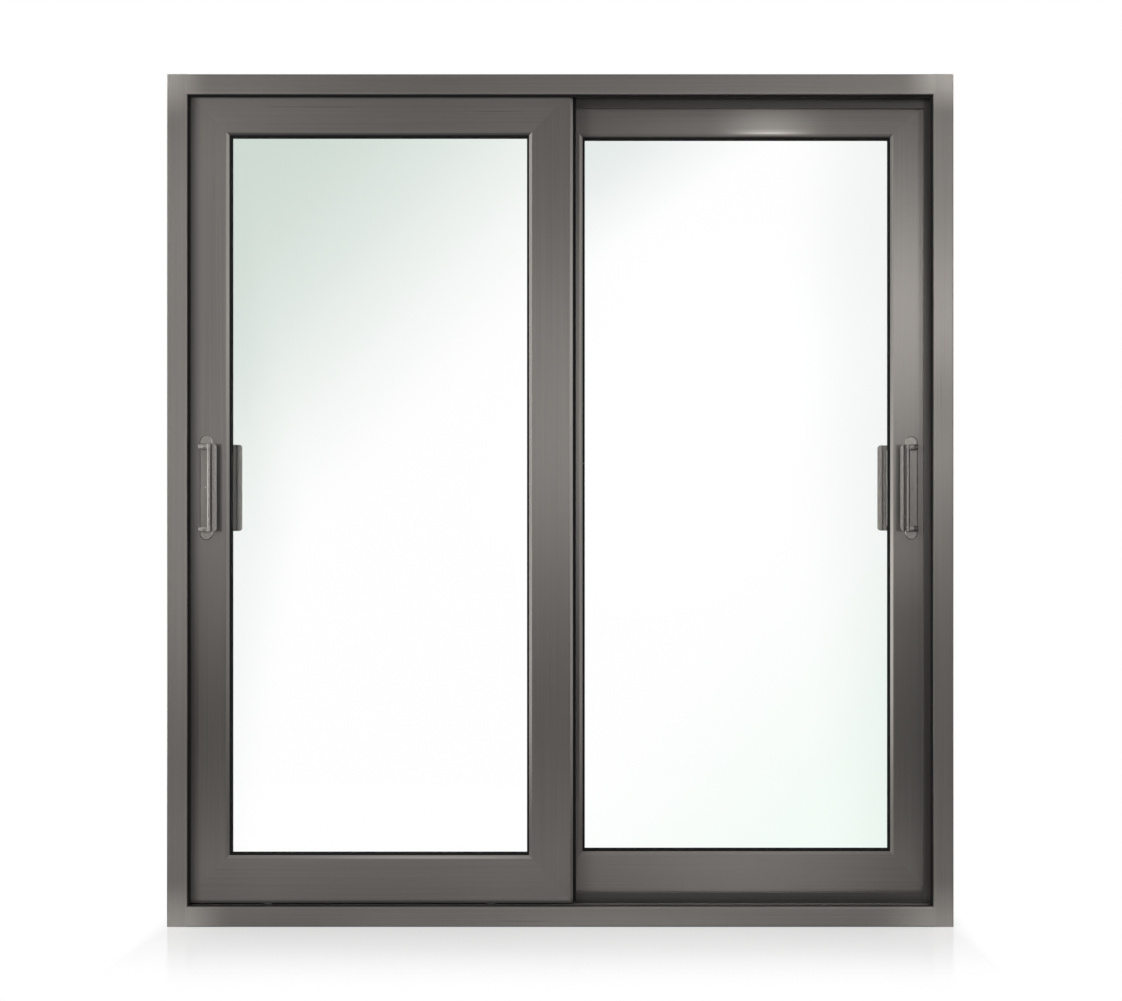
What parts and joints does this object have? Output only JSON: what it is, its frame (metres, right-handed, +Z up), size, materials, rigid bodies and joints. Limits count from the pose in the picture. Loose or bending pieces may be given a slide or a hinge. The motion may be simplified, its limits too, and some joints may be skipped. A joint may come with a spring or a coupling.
{
  "type": "glass sliding patio door",
  "caption": "Double-glazed sliding patio door: metal-framed panels with pull handles run past each other on parallel tracks in an extruded frame.",
  "frame": {"origin": "middle of the sill's underside", "axes": "+X right along the tracks seen from the front, +Y from the front to the back, +Z up"},
  "size_m": [1.845, 0.184, 2],
  "materials": {
    "bronze_metal": "brushed, warm dark grey bronze tone",
    "handle_metal": "satin, same tone as the frame",
    "glass": "clear, faint green tint",
    "spacer_metal": "matt dark",
    "black_rubber": "matt black",
    "track_steel": "brushed",
    "nylon": "matt",
    "pile": "dense dark pile"
  },
  "bodies": {
    "frame": {"left_jamb": "bronze_metal", "right_jamb": "bronze_metal", "head": "bronze_metal", "sill": "bronze_metal", "front_track_rail": "track_steel", "rear_track_rail": "track_steel", "front_seal": "black_rubber", "rear_seal": "black_rubber", "travel_stops": "black_rubber", "left_keeper": "track_steel", "right_keeper": "track_steel"},
    "left_panel": {"left_lock_stile": "bronze_metal", "left_meeting_stile": "bronze_metal", "left_top_rail": "bronze_metal", "left_bottom_rail": "bronze_metal", "left_glass": "glass", "left_spacer": "spacer_metal", "left_gasket": "black_rubber", "left_glazing_bead": "bronze_metal", "left_front_plate": "handle_metal", "left_front_pull": "handle_metal", "left_rear_plate": "handle_metal", "left_rear_pull": "handle_metal", "left_rollers": "nylon", "left_roller_brackets": "track_steel", "left_top_guides": "nylon", "left_meeting_brush": "pile", "left_lock_face": "track_steel"},
    "right_panel": {"right_lock_stile": "bronze_metal", "right_meeting_stile": "bronze_metal", "right_top_rail": "bronze_metal", "right_bottom_rail": "bronze_metal", "right_glass": "glass", "right_spacer": "spacer_metal", "right_gasket": "black_rubber", "right_glazing_bead": "bronze_metal", "right_front_plate": "handle_metal", "right_front_pull": "handle_metal", "right_rear_plate": "handle_metal", "right_rear_pull": "handle_metal", "right_rollers": "nylon", "right_roller_brackets": "track_steel", "right_top_guides": "nylon", "right_meeting_brush": "pile", "right_lock_face": "track_steel"}
  },
  "joints": [
    {"name": "left_slide", "type": "slide", "parent": "frame", "child": "left_panel", "axis": [1, 0, 0], "range_m": [0, 0.7]},
    {"name": "right_slide", "type": "slide", "parent": "frame", "child": "right_panel", "axis": [1, 0, 0], "range_m": [-0.7, 0]}
  ]
}
